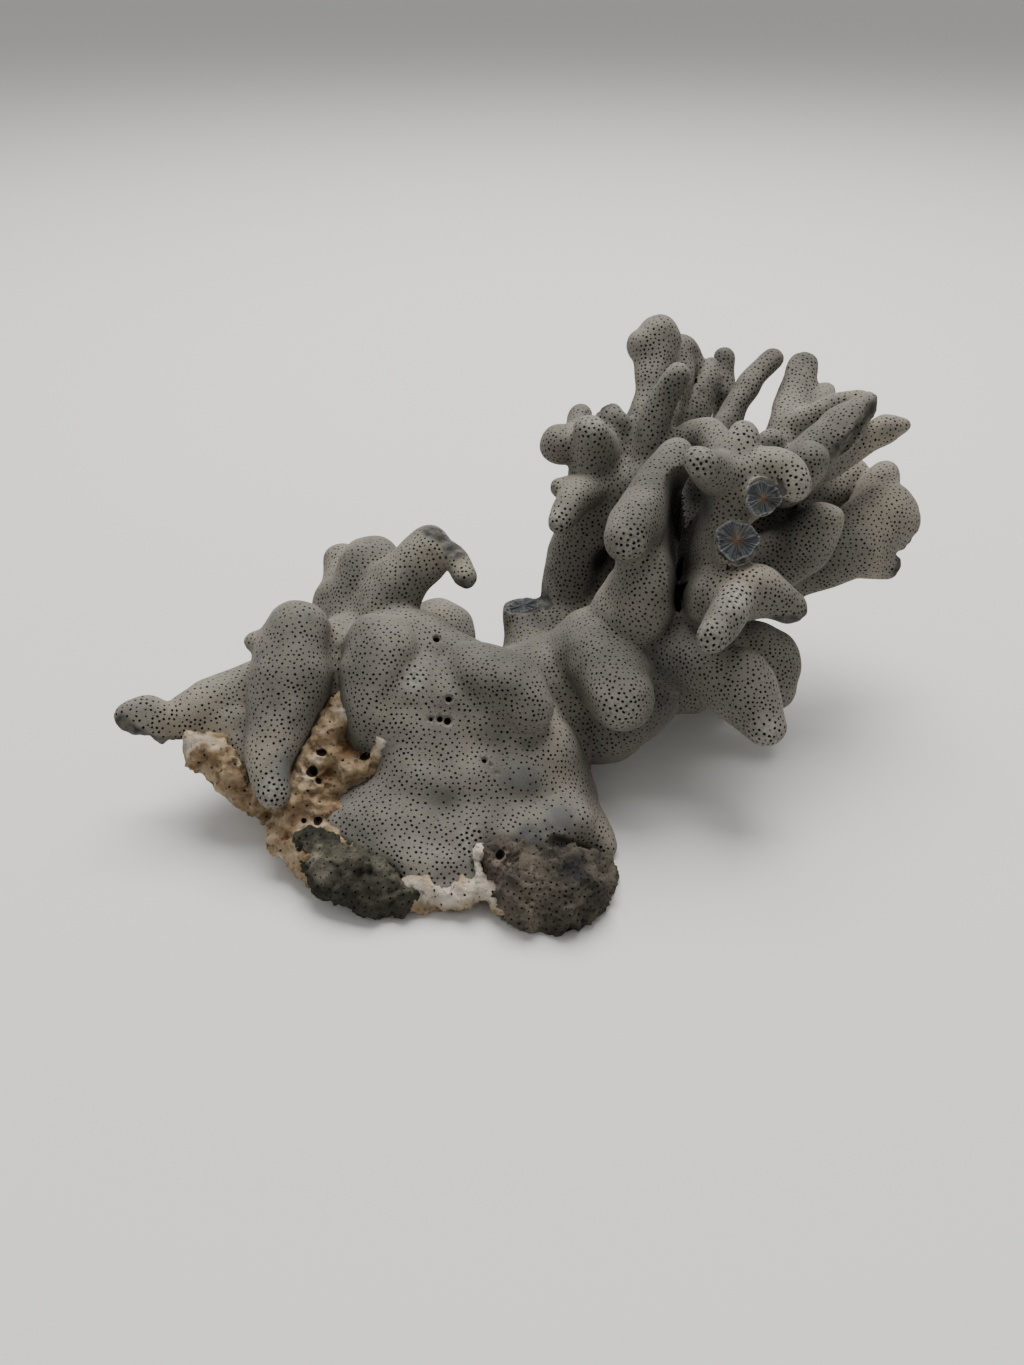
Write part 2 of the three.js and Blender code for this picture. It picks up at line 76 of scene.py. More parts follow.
coralLimbs = {
    "hooked_horn": {
        "horn": [(-36.5, 57, 5, 9.2), (-32, 65, 4, 7.8), (-23, 75, 2, 6.6)],
        "hook": [(-22, 74, 2, 4.6), (-16, 73, 0, 3.6), (-13, 67, -3, 3)],
    },
    "back_left_lobes": {
        "rearLobe": [(-47, 56, 17, 11), (-47, 61, 18, 11), (-50, 74, 22, 5.5)],
        "roundLobe": [(-43, 56, 12, 10.5), (-41, 71, 14, 8.9)],
    },
    "left_wing": {
        "wing": [(-101, 29, -13, 3.5), (-96, 29, -12, 5.4), (-91, 27, -10, 4.4), (-83, 29.5, -6, 7.6),
                 (-74, 32.5, 0, 10.8), (-66, 34, 5, 11.5)],
        "wingSheet": [(-82, 27, -7, 6), (-74, 23, -7, 8), (-67, 18, -10, 7)],
    },
    "left_column": {
        "column": [(-57.5, 51, -8, 9.4), (-59, 39, -10, 10.8), (-61.5, 26, -14, 8.3),
                   (-62.5, 16, -18.5, 5.2), (-61, 9.5, -21, 4)],
        "columnNub": [(-66, 49, -8, 3), (-68.5, 49, -8, 2.4)],
        "columnBack": [(-58, 37, 2, 11), (-60, 36, 9, 10)],
    },
    "lower_right_finger": {
        "longFinger": [(45, 45, -2, 9), (52, 43, -8, 8.6), (60, 36, -12, 8.6), (66, 26, -16, 5.4)],
        "fingerKnuckle": [(57, 40, -10, 7), (60, 42, -14, 5.2)],
    },
    "rear_foot": {
        "rearBulge": [(53, 46, 17, 9.9), (61, 47, 18, 9.9), (74, 46, 16, 8.7), (76, 37, 16, 7)],
        "foot": [(50, 41, 32, 9.8), (68, 43, 46, 8.3)],
    },
    "front_fork": {
        "forkArm": [(54, 61, -11, 8.8), (63, 61, -16, 7.3), (72, 58, -14, 4.5)],
        "forkFinger": [(57, 58, -20, 5.6), (50, 49, -28, 4.2)],
    },
    "middle_fork": {
        "middleFinger": [(45, 99, -4, 5.4), (39, 90, -8, 6.6), (32.5, 80, -14, 7.1), (29.5, 75, -17, 6)],
        "middleLobe": [(35, 73, -7, 7.6), (36.5, 65, -9, 8.6), (33, 57, -5, 9.2)],
        "middleStem": [(41, 87, -4, 6), (39, 74, -6, 7), (36, 67, -8, 8), (31, 58, -2, 9)],
        "shelf": [(34, 92, 12, 4), (36, 97, 10, 3.7), (46, 105, 10, 4.3), (54, 107, 4, 4.5),
                  (57, 99, -4, 4.5)],
    },
    "front_fan": {
        "fanStem": [(50, 57, 0, 9.6), (51.5, 67, -6, 7.9), (53.5, 75, -10, 7.4), (57, 83, -12, 6.2),
                    (58.5, 91, -14, 6.9)],
        "fanLeftKnob": [(55, 91, -16, 5.7), (47, 93, -26, 4.3)],
        "fanTopKnob": [(57, 94, -14, 5.8), (60, 102, -14, 4.2)],
        "fanDroop": [(61, 92, -14, 5.8), (69, 94, -16, 4.4), (73, 88, -18, 3.9)],
        "lowerSnag": [(56, 73, -10, 5.8), (57, 74, -22, 5.3)],
        "upperSnag": [(60, 84.5, -12, 5.3), (63.8, 84.8, -21, 4.9)],
    },
    "side_fan": {
        "sideFinger": [(64, 67, 15, 10), (79, 76, 8, 8.5), (86, 82, 0, 5.8)],
        "plate": [(69, 67, 24, 9.6), (85, 73, 22, 9.3), (99, 79, 20, 10), (110, 87, 22, 10)],
        "plateLobe": [(104, 75, 20, 6), (110, 72, 22, 4.4)],
        "plateTop": [(108, 90, 24, 7), (112, 99, 26, 4.8)],
        "rearNub": [(76, 82, 24, 8), (84, 88, 28, 6.5), (103, 101, 32, 5.5)],
    },
    "back_fingers": {
        "backRoot": [(60, 97, 30, 8), (59, 103, 30, 7.5)],
        "backFinger": [(61, 104, 36, 5), (66, 120, 40, 3.6), (66, 130, 40, 3), (66.5, 140, 40, 3.4)],
        "slantFinger": [(58, 98, 24, 7), (61, 110, 23, 5), (69, 124, 24, 3.9), (78, 135, 26, 3.1)],
        "backSpike": [(54, 106, 32, 6.5), (55, 118, 33, 5.6), (59, 128, 34, 3.8), (61.5, 136, 35, 2)],
    },
    "ridge_branch": {
        "fin": [(77, 98, 18, 7.6), (80, 104, 20, 7.6), (83, 114, 22, 7.4), (85, 124, 26, 6),
                (88, 134, 28, 4.3)],
        "finShoulder": [(86, 108, 24, 6), (91, 120, 27, 5.2), (95, 126, 30, 3.1)],
        "finWeb": [(87, 113, 16, 6), (93, 116, 14, 5.4), (99, 118, 10, 4.2)],
        "blade": [(74, 93, 9, 8), (80, 97, 6, 7.6), (92, 109, 4, 6.1), (99, 116, 4, 3.3)],
        "bladeRear": [(90, 100, 12, 5), (98, 105, 12, 4.4), (107, 111, 12, 4), (112, 112, 12, 2)],
        "bladeKnob": [(75, 92, 2, 6.1), (80, 97, -8, 5.4)],
        "bladeNub": [(70, 95, 6, 5), (72, 104, 4, 3.9)],
    },
    "knobbed_branch": {
        "clubStem": [(41, 80, 23, 8.5), (39, 92, 20, 7), (37, 105, 16, 5.2), (39.5, 120, 18, 4.6),
                     (42.5, 136, 20, 6), (43, 140, 20, 6)],
        "clubHead": [(43, 134, 20, 5.6), (40, 137, 20, 5.4)],
        "clubRear": [(42, 106, 22, 5), (45, 112, 26, 5), (49.5, 129, 30, 4.2), (51, 139, 32, 5),
                     (55, 136, 34, 3.6)],
        "clubWeb": [(49, 125, 31, 4.5), (53, 118, 31, 5.5), (58, 111, 31, 6)],
        "clubFinger": [(38, 100, 12, 5), (39, 105, 10, 4.6), (42, 116, 6, 4.2), (46, 123, 2, 3.3)],
    },
    "left_branch": {
        "leftStem": [(15, 52, 22, 9), (15, 61, 24, 7.6), (20, 77, 22, 9), (25, 91, 18, 9),
                     (25, 104, 14, 7.6)],
        "leftFront": [(24, 103, 10, 6.8), (22, 108, 4, 5.3)],
        "leftSide": [(21, 108, 14, 5.2), (14, 106, 12, 5.4)],
        "leftRear": [(20, 110, 16, 4.5), (20, 116, 20, 3.5)],
        "leftSnag": [(27, 104, 16, 6), (31, 109.5, 16, 5.2), (28, 113, 14, 4.4)],
        "leftThumb": [(22, 93, 10, 5.1), (18, 90, 4, 4.7), (13, 82, 0, 3.3)],
        "leftKnuckle": [(17, 93, 8, 4), (13, 93, 6, 2.5)],
    },
    "lower_trunk": {
        "neck": [(5, 34, 12, 15.5), (14, 36, 12, 16.6)],
        "stub": [(7, 45, 18, 9.5), (5, 51, 20, 7.8), (3.4, 60, 22, 5.4)],
        "trunk": [(25, 44, 6, 15.7), (31, 36, 8, 15.6), (25, 27, 9, 12.5)],
        "shortFinger": [(25, 44, -2, 10.9), (29, 34, -13, 9)],
        "fingerRoot": [(36, 44, 4, 11), (41, 45, 2, 10)],
        "underside": [(37, 36, 16, 9.9), (52, 36, 18, 7)],
        "footRoot": [(40, 42, 20, 11), (45, 40, 28, 10)],
        "web": [(22, 54, 25, 9), (31, 69, 34, 7.4)],
        "backWeb": [(28, 68, 26, 6.5), (31, 80, 27, 6)],
        "spine": [(33, 49, 16, 12.7), (46, 70, 30, 10.5), (60, 88, 30, 10), (73, 94, 20, 8)],
    },
    "main_mound": {
        "saddle": [(-46, 47, 2, 10), (-46, 36, 4, 12)],
        "lobeRoot": [(-45, 47, 14, 11), (-43, 50, 9, 10)],
        "backBulge": [(-30, 42, 24, 12), (-22, 52, 28, 10.9)],
        "leftShoulder": [(-34, 45, -2, 12), (-31, 28, -2, 16.4)],
        "ridge": [(-31, 47, 0, 11.6), (-16, 41, 0, 11), (0, 35, -4, 8.1)],
        "mound": [(-21, 22, 2, 21.6), (-24, 6, -2, 18)],
        "neckRoot": [(-14, 32, 12, 15), (-4, 33, 12, 15)],
        "sheet": [(-38, 3, -11, 9), (-24, -4, -14, 10), (-11, -6, -14, 9.5)],
        "rim": [(-47, 3, -18, 2.6), (-38, -3, -22.5, 2.6), (-28, -8.5, -26, 2.5),
                (-19, -13.5, -28.5, 2.2), (-9, -11, -27, 2.4)],
        "leftLobe": [(-35, 46, -8.5, 10.5), (-36, 37, -10.5, 9.5), (-34, 28, -9, 10)],
        "rightLobe": [(-10, 39.5, -9, 9.2), (-1, 37, -12.5, 9), (3, 32, -13, 7.6)],
        "dome": [(-33, 36, -5, 12), (-20, 33, -6, 12.4), (-3, 27, -5, 11.5)],
        "skirt": [(-26, 12, -10, 11.5), (-12, 10, -10, 11.5), (0, 12, -8, 11), (8, 18, -4, 11)],
        "apron": [(-35, 6, -15, 7.5), (-25, 0, -17, 8), (-13, -2, -18, 7.5), (-3, 1, -16, 8)],
        "apronFoot": [(-41, 3, -18, 4.6), (-31, -3, -22, 5), (-21, -8, -24.5, 5), (-12, -8, -23.5, 4.6)],
        "skirtFoot": [(-3, -2, -17, 8), (6, -2, -15, 8), (14, 1, -11, 8)],
        "flank": [(2, 22, 0, 13.8), (13, 8, -2, 10.4), (20, -2, -8, 6)],
        "flankRim": [(20, 6, -4, 4.3), (25, -6, -12, 2.4)],
    },
}
# thickness over width, for the limbs that are sheets
thinLimbs = {"wing": 0.55, "wingSheet": 0.5, "plate": 0.75, "fin": 0.7, "finWeb": 0.5, "clubWeb": 0.5,
             "ledge": 0.6}


def alongCurve(points, at):
    # a smooth curve through the points; at counts the points passed
    i = min(int(at), len(points) - 2)
    t = at - i
    p1, p2 = points[i], points[i + 1]
    p0 = points[i - 1] if i > 0 else p1 * 2 - p2
    p3 = points[i + 2] if i + 2 < len(points) else p2 * 2 - p1
    return (p1 * 2 + (p2 - p0) * t + (p0 * 2 - p1 * 5 + p2 * 4 - p3) * t * t
            + (p1 * 3 - p0 - p2 * 3 + p3) * t ** 3) / 2


def beadsAlong(chain):
    points = [place(a, u, d) for a, u, d, r in chain]
    radii = [r / 1000 for a, u, d, r in chain]
    length = sum((b - a).length for a, b in zip(points, points[1:]))
    count = max(3, int(length / (face["beadShare"] * min(radii))) + 1)
    beads = []
    for k in range(count + 1):
        at = k / count * (len(points) - 1)
        i = min(int(at), len(points) - 2)
        beads.append((alongCurve(points, at), radii[i] + (radii[i + 1] - radii[i]) * (at - i)))
    return beads


def addLimb(whole, beads, thin, grow):
    bm = bmesh.new()
    flat = Matrix.Scale(thin, 4, towardBack)
    for centre, radius in beads:
        bmesh.ops.create_icosphere(bm, subdivisions=3, radius=radius + grow,
                                   matrix=Matrix.Translation(centre) @ flat)
    limb = bpy.data.meshes.new("limb")
    bm.to_mesh(limb)
    bm.free()
    whole.from_mesh(limb)
    bpy.data.meshes.remove(limb)


def smoothed(bm, verts, rounds):
    for k in range(rounds):
        bmesh.ops.smooth_vert(bm, verts=verts, factor=0.5, use_axis_x=True, use_axis_y=True,
                              use_axis_z=True)


def skinOver(limbs, voxel, rounds, grow):
    # one closed skin over all the limbs, smoothed where they meet
    whole = bmesh.new()
    for name, chain in limbs.items():
        addLimb(whole, beadsAlong(chain), thinLimbs.get(name, 1), grow)
    mesh = bpy.data.meshes.new("beads")
    whole.to_mesh(mesh)
    whole.free()
    obj = bpy.data.objects.new("beads", mesh)
    bpy.context.collection.objects.link(obj)
    mod = obj.modifiers.new("oneSkin", "REMESH")
    mod.mode = "VOXEL"
    mod.voxel_size = voxel
    skin = bpy.data.meshes.new_from_object(obj.evaluated_get(bpy.context.evaluated_depsgraph_get()))
    bpy.data.objects.remove(obj)
    bpy.data.meshes.remove(mesh)
    bm = bmesh.new()
    bm.from_mesh(skin)
    bpy.data.meshes.remove(skin)
    smoothed(bm, bm.verts, rounds)
    bmesh.ops.triangulate(bm, faces=bm.faces, quad_method="SHORT_EDGE")
    return bm


def refined(bm, places, reach):
    # a finer mesh around each small hole, so its mouth comes out round
    middles = [(place(*p[:3]), (p[3] + reach) / 1000) for p in places]
    near = [v for v in bm.verts if any((v.co - middle).length < r for middle, r in middles)]
    picked = set(near)
    edges = [e for e in bm.edges if e.verts[0] in picked and e.verts[1] in picked]
    bmesh.ops.subdivide_edges(bm, edges=edges, cuts=2, use_grid_fill=True)
    bmesh.ops.triangulate(bm, faces=[f for f in bm.faces if len(f.verts) > 3])


def lumps(points, size, seed):
    # smooth random swells between -1 and 1, about size apart, from a lattice that repeats
    cells = 24
    dice = np.random.default_rng(seed)
    lattice = dice.uniform(-1, 1, (cells, cells, cells))
    spot = points / size
    low = np.floor(spot).astype(int)
    t = spot - low
    t = t * t * (3 - 2 * t)
    total = np.zeros(len(points))
    for corner in range(8):
        step = np.array([corner & 1, corner >> 1 & 1, corner >> 2 & 1])
        weight = np.prod(np.where(step, t, 1 - t), axis=1)
        at = (low + step) % cells
        total += weight * lattice[at[:, 0], at[:, 1], at[:, 2]]
    return total


def spotsOf(bm):
    return np.array([v.co for v in bm.verts])


def facingsOf(bm):
    bm.normal_update()
    return np.array([v.normal for v in bm.verts])


def putBack(bm, points):
    points[:, 2] = np.maximum(points[:, 2], 0)
    for v, p in zip(bm.verts, points):
        v.co = p
    bm.normal_update()


def nearness(points, line, reach):
    # 1 on a line of places on the face, falling smoothly to 0 at its reach in mm
    corners = [np.array(place(*p)) for p in line]
    if len(corners) == 1:
        corners *= 2
    away = np.full(len(points), np.inf)
    for a, b in zip(corners, corners[1:]):
        along = b - a
        t = np.clip((points - a) @ along / max(along @ along, 1e-12), 0, 1)
        away = np.minimum(away, np.linalg.norm(points - a - t[:, None] * along, axis=1))
    share = np.clip(1 - away * 1000 / reach, 0, 1)
    return share * share * (3 - 2 * share)


def marked(points, marks):
    # how near each point is to any of the marks, each a line of places and its reach in mm
    share = np.zeros(len(points))
    for line, reach in marks:
        share = np.maximum(share, nearness(points, line, reach))
    return share


def markedSpots(points, spots):
    # the same for single spots, each a place and its reach in mm
    return marked(points, [([spot[:3]], spot[3]) for spot in spots])


def sunkBack(points, line, reach, depth):
    # pushes the points near a line back into the face by up to depth in mm, and says how near each is
    share = nearness(points, line, reach)
    points += np.array(towardBack) * (share * depth / 1000)[:, None]
    return share


def keepOn(bm, name, values):
    layer = bm.verts.layers.float.new(name)
    for v, value in zip(bm.verts, values.tolist()):
        v[layer] = value


def spread(points, allowed, spacing, seed):
    # picks points in random order, each keeping its own spacing clear
    near = kdtree.KDTree(len(points))
    for i, p in enumerate(points):
        near.insert(p, i)
    near.balance()
    free = allowed.copy()
    picked = []
    for i in np.random.default_rng(seed).permutation(len(points)).tolist():
        if free[i]:
            picked.append(i)
            for co, j, away in near.find_range(points[i], spacing[i]):
                free[j] = False
    return picked


def sinkPores(bm, groups):
    # opens a small round mouth at each picked point and pushes its middle in; the facing is kept
    # from before that, so the surface stays smooth up to each mouth
    pit = bm.verts.layers.float.get("pit") or bm.verts.layers.float.new("pit")
    facing = bm.verts.layers.float_vector.new("facing")
    bm.verts.ensure_lookup_table()
    groups = [([bm.verts[i] for i in picked], radius, depth) for picked, radius, depth in groups]
    sinks = []
    for mouths, radius, depth in groups:
        made = bmesh.ops.bevel(bm, geom=mouths, offset=radius, offset_type="OFFSET", affect="VERTICES",
                               segments=2, profile=0.25,  # straight sides, so a round mouth
                               material=-1, clamp_overlap=False)
        inPore = set(made["faces"])
        middles = {v for f in inPore for v in f.verts if all(g in inPore for g in v.link_faces)}
        sinks.append((middles, depth))
    bm.normal_update()
    for v in bm.verts:
        v[facing] = v.normal
    for middles, depth in sinks:
        for v in middles:
            v[pit] = 1
            v.co -= v.normal * depth
    bmesh.ops.triangulate(bm, faces=bm.faces)
    return sum(len(middles) for middles, depth in sinks)


def finished(mesh, name, node):
    obj = bpy.data.objects.new(name, mesh)
    bpy.context.collection.objects.link(obj)
    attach(obj, "root")
    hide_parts(node)
    return obj


def keepFacing(mesh):
    normals = np.empty(len(mesh.vertices) * 3)
    mesh.attributes["facing"].data.foreach_get("vector", normals)
    mesh.shade_smooth()
    mesh.normals_split_custom_set_from_vertices(normals.reshape(-1, 3))


# The coral: one skin over all limbs, then its own wear, then its pores
allLimbs = {name: chain for limbs in coralLimbs.values() for name, chain in limbs.items()}
coral = skinOver(allLimbs, face["voxel"], face["softening"], face["fatten"])
print("coral skin", len(coral.verts), "points")

# The mound's front is one broad dome, so the lines where its limbs meet are smoothed right out
dome = {"rounds": 45, "around": ((-22, 12, -16, 20), (-22, 0, -20, 15), (-6, 8, -14, 17), (6, 6, -12, 13))}
domeBalls = [(place(a, u, d), r / 1000) for a, u, d, r in dome["around"]]
domed = [v for v in coral.verts if any((v.co - middle).length < r for middle, r in domeBalls)]
smoothed(coral, domed, dome["rounds"])

# Borings in the mound, each its place and reach
borings = [(-20, 49.8, -8.9, 1.4), (-11.7, 45.6, -9.6, 1.6), (-5.8, 41.8, -10.9, 1.6),
           (-16.2, 33.7, -18.5, 1.5), (-16.5, 28.1, -18.5, 1.8), (-18.6, 28.6, -18.6, 1.4),
           (-21, 28.6, -18.7, 1.2), (-7, 18.2, -17.9, 1.2), (-5.2, 17, -18.3, 1.2), (-3.9, 15, -19.1, 1.4),
           (-31.5, 23.1, -17.8, 1.2)]
refined(coral, borings, 0.9)

# Low swells all over it: height and size in metres
swell = {"broad": 0.0011, "broadSize": 0.011, "small": 0.00055, "smallSize": 0.0055}
points = spotsOf(coral)
points += facingsOf(coral) * (swell["broad"] * lumps(points, swell["broadSize"], 3)
                              + swell["small"] * lumps(points, swell["smallSize"], 5))[:, None]

# Deep gaps between limbs: a line, its reach and how far the skin sinks into the face, in mm
gaps = {
    "middleGap": ([(46, 87, -10), (46.4, 76, -10), (44.5, 64, -10)], 9, 12),
    "slotInBlade": ([(99, 113, 0), (95.5, 108, -0.5), (91.6, 101.9, -0.3)], 2.4, 2.5),
    "underArch": ([(38, 37, -12), (43, 34, -8)], 6, 5),
    "moundCrease": ([(-2, 27, -18), (-4, 15, -19), (-2, 4, -22)], 5.5, 1.4),
    "underKnobShelf": ([(11, -3, -21.7), (18, -6, -13.3)], 2.6, 4),
}
gapShadeAndSmoothing = {"darkFrom": 8, "smoothFrom": 0.02, "rounds": 25}  # only a gap deeper than darkFrom is darkened
# sunk marks the gaps deeper than darkFrom, which get painted shade; the skin there is also smoothed
sunk = np.zeros(len(points))
for line, reach, depth in gaps.values():
    share = sunkBack(points, line, reach, depth)
    if depth > gapShadeAndSmoothing["darkFrom"]:
        sunk = np.maximum(sunk, share)

# Painted shade for the darkest recesses, each a line and its reach
shadedRecesses = {
    "behindFanStem": ([(51, 86, -2), (48, 77, -3), (45, 65, -3)], 10),
    "behindShelf": ([(51, 86, 12), (48, 77, 12), (44, 68, 8)], 13),
    "besideLeftStem": ([(27, 73, 15), (31, 70, 14)], 6),
    "underShelf": ([(45, 52, 6), (42, 58, 2)], 5),
}

boreDepth = 0.0024
bored = markedSpots(points, borings)
points -= facingsOf(coral) * (bored * boreDepth)[:, None]

# Broken edges: rough, dark and without pores
brokenEdges = {
    "wingEdge": ([(-102, 27.6, -14.5), (-95.4, 23.6, -12.3), (-86, 21, -9), (-76, 20, -8),
                  (-68, 16, -10)], 3.6),
    "hornTop": ([(-22.4, 80.2, -2.2), (-18.3, 78.4, -1.5), (-15.5, 74, -3.5)], 5.2),
    "hookEnd": ([(-13.3, 64.4, -4)], 4.5),
    "forkEdge": ([(60, 53, -22), (68, 53.5, -17.7), (75, 56, -15)], 3),
    "bladeEdge": ([(103, 117, 2), (95.5, 108, -0.5), (88, 100, -1), (82, 95, -2)], 3.6),
    "cupRim": ([(24, 118, 13), (28, 117, 15), (33, 113, 17), (35, 108, 17)], 6.5),
    "plateEdge": ([(113, 71, 20), (118, 78, 21), (119, 88, 22)], 3.4),
}
crumb = {"height": 0.0009, "small": 0.0016, "large": 0.003}
broken = marked(points, brokenEdges.values())
crumbs = lumps(points, crumb["small"], 7) + lumps(points, crumb["large"], 8)
points += facingsOf(coral) * (broken * crumb["height"] * crumbs)[:, None]

# Snapped ends: flat faces across a limb, each its middle, the way it faces and its reach
snaps = {
    "lowerSnag": ((57, 74, -23), (0.1, 0.05, -1), 7.5),
    "upperSnag": ((63.8, 84.8, -22), (0.3, 0.05, -1), 7),
    "stubTop": ((3.2, 60.4, 20.8), (-0.1, 0.88, -0.47), 9),
    "leftCup": ((31.5, 111, 18), (0.4, 0.8, 0), 7),
}
snapSlack = 0.0002  # how far below the flat the skin is still drawn to it
snapped = np.zeros(len(points))
for centre, facing, reach in snaps.values():
    middle = np.array(place(*centre))
    out = np.array(place(*facing).normalized())
    beyond = (points - middle) @ out
    hit = (np.linalg.norm(points - middle, axis=1) < reach / 1000) & (beyond > -snapSlack)
    points[hit] -= out * beyond[hit, None]
    snapped[hit] = 1
putBack(coral, points)
inGaps = [v for v, share in zip(coral.verts, sunk) if share > gapShadeAndSmoothing["smoothFrom"]]
smoothed(coral, inGaps, gapShadeAndSmoothing["rounds"])
points = spotsOf(coral)
print("coral shaped")

# Where the skin is bluish and worn, bleached at growing ends, or crumbly: each a place and its reach
bruises = [(-30.6, 45.2, -14.7, 5), (-4.9, 24.3, -16.2, 4), (-52.6, 54.3, -15.4, 3), (-43.2, 54.9, -3.9, 3),
           (-65.9, 45.1, -16.5, 3), (-62.6, 54.8, -15, 3.5), (2, 13, -18.5, 8), (12, 3, -19.5, 10),
           (4, -2, -23, 8), (-57, 16, -22, 7), (-20, 8, -22, 6)]
bleached = [(28.1, 29.7, -20.8, 9), (45.9, 92.8, -30.1, 8), (56.5, 58.6, -26.4, 9), (31, 72, -22.8, 8),
            (65.4, 23.8, -20.7, 9), (13, 82, -2, 8), (49, 49, -30, 8), (-25.6, 39.1, -17.5, 6),
            (-34, 31, -17.5, 4), (-43, 0, -21, 3), (-38, -4, -24.5, 3), (-33, -7, -26, 3),
            (-28, -10, -28, 3), (-22, -13, -29, 3), (-10.5, -1.6, -25.4, 6), (-60.9, 9.7, -24.9, 7),
            (22, 108, 0, 8), (60, 102, -16, 7), (73, 90, -20, 7)]
wornEnds = [(43, 137, 20, 16), (51, 130, 31, 18), (85, 124, 24, 18), (93, 119, 26, 16), (112, 98, 26, 16),
            (103, 101, 32, 12), (84, 88, 28, 12), (-50, 74, 20, 10), (-100, 28, -13, 12), (66, 130, 40, 14)]
bruised = markedSpots(points, bruises)
worn = markedSpots(points, wornEnds)
pale = markedSpots(points, bleached)

pieceNames = list(coralLimbs)
pieceStart, beadSpots, beadRadii, beadThin = [], [], [], []
for node, limbs in coralLimbs.items():
    pieceStart.append(len(beadSpots))
    for name, chain in limbs.items():
        for centre, radius in beadsAlong(chain):
            beadSpots.append(centre)
            beadRadii.append(radius)
            beadThin.append(1 / thinLimbs.get(name, 1) ** 2 - 1)


def nearestPiece(points):
    # which piece's limbs each point lies nearest to, some points at a time
    batch = 20000
    back = np.array(towardBack)
    beads = np.array(beadSpots)
    owners = []
    for start in range(0, len(points), batch):
        some = points[start:start + batch]
        square = (some ** 2).sum(1)[:, None] + (beads ** 2).sum(1)[None, :] - 2 * some @ beads.T
        depth = (some @ back)[:, None] - (beads @ back)[None, :]
        reach = np.sqrt(np.maximum(square + depth ** 2 * beadThin, 0)) - beadRadii
        owners.append(np.minimum.reduceat(reach, pieceStart, axis=1).argmin(axis=1))
    return np.concatenate(owners)


owners = nearestPiece(points)
# the borings get the pit value, which takes painted shade in the material
keepOn(coral, "pit", np.clip(bored * 3 - 1, 0, 1))
keepOn(coral, "broken", np.maximum(broken, snapped))
inShadedRecess = marked(points, shadedRecesses.values())
# painted shade: nearly black in the deep gap and in the darkest recesses
keepOn(coral, "deep", np.maximum(np.clip(sunk * 1.6, 0, 1), np.clip(inShadedRecess * 2, 0, 1)))
keepOn(coral, "bruise", bruised)
keepOn(coral, "pale", pale)
keepOn(coral, "worn", worn)
ownerLayer = coral.verts.layers.int.new("owner")
for v, number in zip(coral.verts, owners.tolist()):
    v[ownerLayer] = number

# Pores: how far apart on each part, their depth and the radii of their mouths
pores = {
    "mound": 0.00116, "limbs": 0.00108, "tips": 0.00124, "moreOnBruises": 0.0006, "depth": 0.0009,
    "radii": (0.00036, 0.00043, 0.0005), "tipRadius": 0.00056, "tipFrom": 0.3,
}
poreFree = {"broken": 0.35, "bored": 0.05, "bruised": 0.8, "facingDown": -0.2, "height": 0.014}
buried = (facingsOf(coral)[:, 2] < poreFree["facingDown"]) & (points[:, 2] < poreFree["height"])
sound = (snapped == 0) & (broken < poreFree["broken"]) & (bored < poreFree["bored"])
canPore = sound & (bruised < poreFree["bruised"]) & ~buried
onMound = np.isin(owners, [pieceNames.index(name) for name in ("main_mound", "left_column", "left_wing")])
atTip = pale > pores["tipFrom"]
spacing = np.where(onMound, pores["mound"], pores["limbs"]) + pores["moreOnBruises"] * bruised
spacing = np.where(atTip, pores["tips"], spacing)
picked = spread(points, canPore, spacing, 11)
onBody = [i for i in picked if not atTip[i]]
onTips = [i for i in picked if atTip[i]]
groups = [(onBody[k::3], radius, pores["depth"]) for k, radius in enumerate(pores["radii"])]
groups.append((onTips, pores["tipRadius"], pores["depth"]))
print("pores", sinkPores(coral, groups))


cutWall = 0.0016  # how far the walls inside the cuts between pieces go in


def splitCoral(bm):
    # one closed object for each node, with its cuts walled in below the skin
    layer = bm.verts.layers.int["owner"]
    for f in bm.faces:
        a, b, c = (v[layer] for v in f.verts)
        f.material_index = b if b == c else a
    whole = bpy.data.meshes.new("wholeCoral")
    bm.to_mesh(whole)
    bm.free()
    for name in pieceNames:
        whole.materials.append(bpy.data.materials.new(name))
    obj = bpy.data.objects.new("wholeCoral", whole)
    bpy.context.collection.objects.link(obj)
    before = set(bpy.context.scene.objects)
    bpy.context.view_layer.objects.active = obj
    obj.select_set(True)
    bpy.ops.object.mode_set(mode="EDIT")
    bpy.ops.mesh.select_all(action="SELECT")
    bpy.ops.mesh.separate(type="MATERIAL")
    bpy.ops.object.mode_set(mode="OBJECT")
    pieces = [obj] + [o for o in bpy.context.scene.objects if o not in before]
    made = []
    for piece in pieces:
        node = piece.data.materials[piece.data.polygons[0].material_index].name
        part = bmesh.new()
        part.from_mesh(piece.data)
        facing = part.verts.layers.float_vector["facing"]
        rims = [e for e in part.edges if e.is_boundary]
        wall = bmesh.ops.extrude_edge_only(part, edges=rims)["geom"]
        for v in wall:
            if isinstance(v, bmesh.types.BMVert):
                v.co -= v[facing] * cutWall
        rims = [e for e in wall if isinstance(e, bmesh.types.BMEdge) and e.is_boundary]
        lids = bmesh.ops.holes_fill(part, edges=rims, sides=0)["faces"]
        bmesh.ops.triangulate(part, faces=lids)
        bmesh.ops.recalc_face_normals(part, faces=part.faces)
        for f in part.faces:
            f.material_index = 0
        mesh = bpy.data.meshes.new(node)
        part.to_mesh(mesh)
        part.free()
        keepFacing(mesh)
        made.append(finished(mesh, node.title().replace("_", ""), node))
        bpy.data.objects.remove(piece)
        print(node, len(mesh.polygons), "faces")
    for name in pieceNames:
        bpy.data.materials.remove(bpy.data.materials[name])
    return made


coralObjs = splitCoral(coral)

